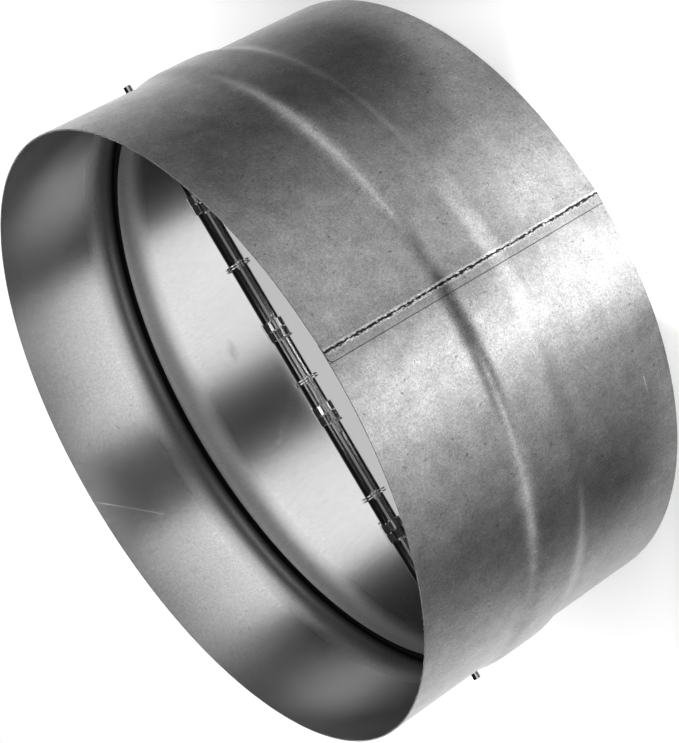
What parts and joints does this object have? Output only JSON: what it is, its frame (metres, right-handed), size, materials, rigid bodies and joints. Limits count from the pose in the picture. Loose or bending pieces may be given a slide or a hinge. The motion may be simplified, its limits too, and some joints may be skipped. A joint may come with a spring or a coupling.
{
  "type": "backdraft damper",
  "caption": "Round spring-closed backdraft damper for ventilation duct: swaged sheet-steel casing, spindle across the middle and two half-round blades that swing open with the flow.",
  "frame": {"origin": "centre of the upstream rim, in the plane it stands on", "axes": "+Z along the duct's axis, the way the air flows, +X along the spindle, +Y from the front blade to the rear blade"},
  "size_m": [0.2578, 0.2527, 0.12],
  "materials": {
    "casing_steel": "hot-dip galvanised sheet, satin with a fine mottled grain",
    "blade_aluminium": "bright rolled sheet, almost a mirror",
    "spindle_steel": "drawn bright bar",
    "spring_steel": "drawn stainless spring wire",
    "seal_rubber": "matt black cellular rubber",
    "bush_nylon": "moulded black nylon",
    "washer_steel": "zinc-plated spring steel"
  },
  "bodies": {
    "frame": {"casing": "casing_steel", "spindle": "spindle_steel", "spindle_bush_left": "bush_nylon", "spindle_bush_right": "bush_nylon", "retaining_washer_left": "washer_steel", "retaining_washer_right": "washer_steel", "seal_strip_front": "seal_rubber", "seal_strip_rear": "seal_rubber", "closing_spring_1": "spring_steel", "closing_spring_2": "spring_steel", "closing_spring_3": "spring_steel"},
    "rear_blade": {"blade_rear": "blade_aluminium"},
    "front_blade": {"blade_front": "blade_aluminium"}
  },
  "joints": [
    {"name": "rear_blade_hinge", "type": "hinge", "parent": "frame", "child": "rear_blade", "pos_m": [0, 0, 0.0694], "axis": [1, 0, 0], "range_deg": [0, 85], "stiffness_Nm_per_rad": 0.012, "springref_deg": -68.75, "deforming": ["closing_spring_1", "closing_spring_2", "closing_spring_3"]},
    {"name": "front_blade_hinge", "type": "hinge", "parent": "frame", "child": "front_blade", "pos_m": [0, 0, 0.0694], "axis": [-1, 0, 0], "range_deg": [0, 85], "stiffness_Nm_per_rad": 0.012, "springref_deg": -68.75, "deforming": ["closing_spring_1", "closing_spring_2", "closing_spring_3"]}
  ]
}
